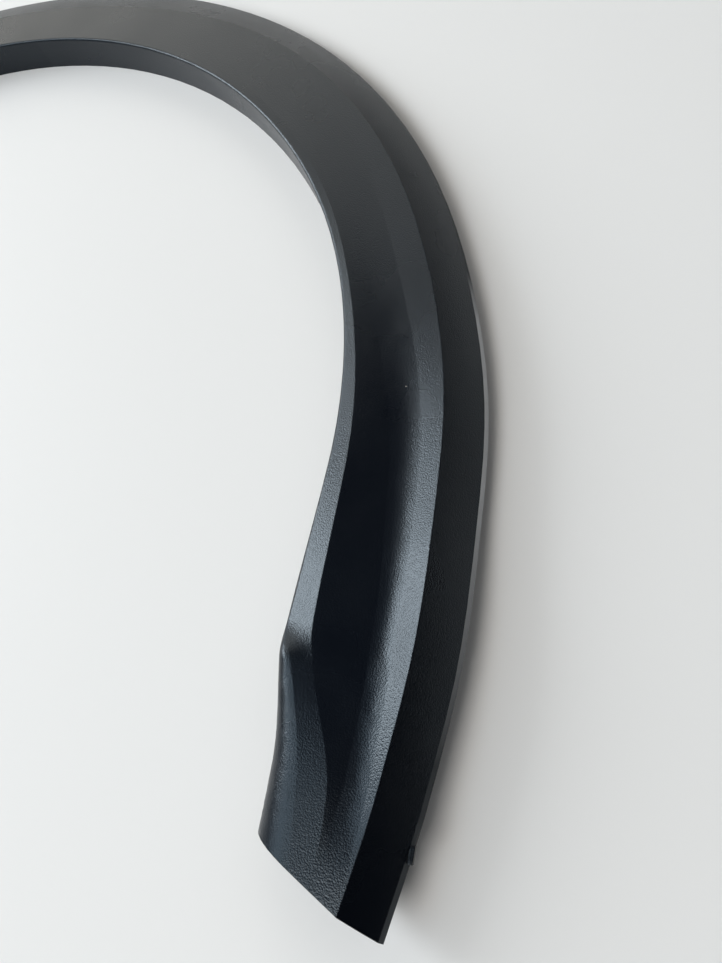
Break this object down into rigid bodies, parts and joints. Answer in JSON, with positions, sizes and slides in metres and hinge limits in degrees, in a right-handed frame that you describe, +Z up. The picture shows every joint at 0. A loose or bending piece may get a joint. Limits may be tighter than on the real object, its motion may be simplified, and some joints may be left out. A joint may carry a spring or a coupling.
{
  "type": "wheel arch trim",
  "caption": "One-piece moulded plastic wheel arch trim: a curved band with a return flange round the wheel opening, a hollow down each leg, and ribs and clip towers behind.",
  "frame": {"origin": "middle of the footprint on the surface that the flange's foot lies on, with the face up", "axes": "+X along the longest side, from one leg to the other; +Y from the legs to the crown of the arch; +Z up, out of the visible face"},
  "size_m": [0.869, 0.6178, 0.039],
  "materials": {
    "black_plastic": "fine pebble grain, semi-matt, moulded in black"
  },
  "bodies": {
    "root": {"arch_moulding": "black_plastic"}
  },
  "joints": []
}
